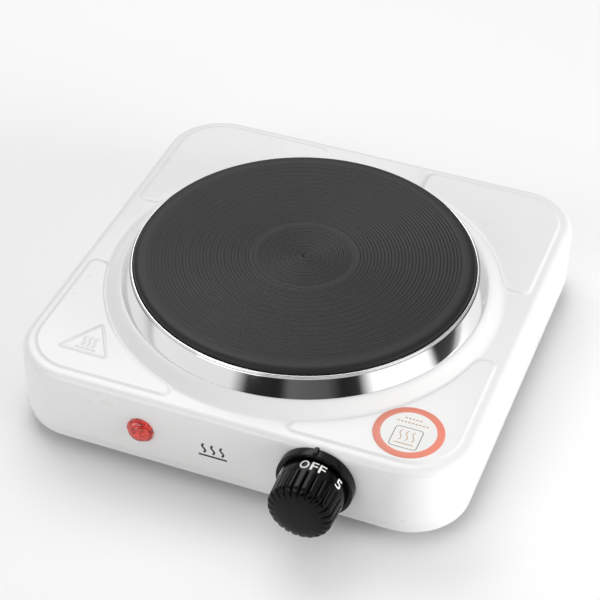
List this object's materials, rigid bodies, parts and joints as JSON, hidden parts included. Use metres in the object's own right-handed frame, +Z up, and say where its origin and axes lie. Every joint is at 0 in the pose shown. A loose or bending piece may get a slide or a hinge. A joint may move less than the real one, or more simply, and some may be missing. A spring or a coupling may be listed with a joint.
{
  "type": "electric hot plate",
  "caption": "Table-top electric cooking plate: square white steel housing with a cast-iron plate, bright trim ring, rotary heat knob and pilot lamp.",
  "frame": {"origin": "on the table, under the middle of the cooking plate and of the overall outline", "axes": "+X to the right seen from the front, +Y to the back, where the cord bush is, +Z up"},
  "size_m": [0.208, 0.2452, 0.059],
  "materials": {
    "base_steel": "galvanised sheet, dull grey",
    "zinc_steel": "zinc-plated, semi-matt",
    "bimetal": "rolled strip",
    "label_film": "printed film, satin",
    "cement": "fired ceramic, matt",
    "contact_brass": "rolled strip",
    "plate_iron": "turned, dark protective coating",
    "gland_rubber": "moulded, matt",
    "spring_steel": "tempered, oiled",
    "brass": "turned",
    "foot_rubber": "moulded, matt",
    "coil_alloy": "oxidised resistance alloy",
    "white_enamel": "white baked paint, gloss",
    "knob_plastic": "black thermoset, satin gloss",
    "bezel_plastic": "black thermoset, satin",
    "lamp_plastic": "moulded, matt",
    "lead_white": "silicone insulation",
    "lens_red": "clear red, faceted, gloss",
    "lead_green": "silicone insulation, green and yellow",
    "lead_brown": "silicone insulation",
    "lead_blue": "silicone insulation",
    "bulb_glass": "clear bulb",
    "cover_steel": "aluminised sheet",
    "ceramic": "steatite, matt",
    "block_plastic": "moulded, matt",
    "cutout_case": "drawn case",
    "bright_steel": "bright, polished"
  },
  "bodies": {
    "housing_body": {"base_plate": "base_steel", "base_screws": "zinc_steel", "bimetal_blade": "bimetal", "caution_label": "label_film", "centre_stud": "zinc_steel", "ceramic_fill": "cement", "clamp_bar": "zinc_steel", "clamp_nut": "zinc_steel", "clamp_washer": "zinc_steel", "cooking_plate": "plate_iron", "cord_gland": "gland_rubber", "cutout_clip": "spring_steel", "earth_screw": "brass", "earth_tag": "brass", "foot_front_left": "foot_rubber", "foot_front_right": "foot_rubber", "foot_rear_left": "foot_rubber", "foot_rear_right": "foot_rubber", "foot_screws": "zinc_steel", "heating_coil_inner": "coil_alloy", "heating_coil_outer": "coil_alloy", "housing": "white_enamel", "knob_bezel": "bezel_plastic", "lamp_clip": "spring_steel", "lamp_holder": "lamp_plastic", "lamp_leads": "lead_white", "lamp_lens": "lens_red", "lead_earth": "lead_green", "lead_live": "lead_brown", "lead_neutral": "lead_blue", "lead_switched": "lead_white", "neon_bulb": "bulb_glass", "plate_cover": "cover_steel", "terminal_beads": "ceramic", "terminal_block": "block_plastic", "terminal_pins": "coil_alloy", "terminal_screws": "brass", "thermal_cutout": "cutout_case", "thermostat_body": "ceramic", "thermostat_bracket": "zinc_steel", "thermostat_screws": "zinc_steel", "trim_ring": "bright_steel"},
    "knob_turning": {"knob": "knob_plastic", "knob_spring_clip": "spring_steel", "thermostat_spindle": "brass"},
    "moving_leaf": {"contact_blade": "contact_brass"}
  },
  "joints": [
    {"name": "knob_turn", "type": "hinge", "parent": "housing_body", "child": "knob_turning", "pos_m": [0.044, -0.1, 0.0262], "axis": [0, 1, 0], "range_deg": [0, 305]},
    {"name": "contact_flex", "type": "hinge", "parent": "housing_body", "child": "moving_leaf", "pos_m": [0.0336, -0.08825, 0.0262], "axis": [0, 0, 1], "range_deg": [0, 7.2]}
  ],
  "couplings": [
    {"joint": "contact_flex", "follows": "knob_turn", "ratio": 0.0236}
  ]
}
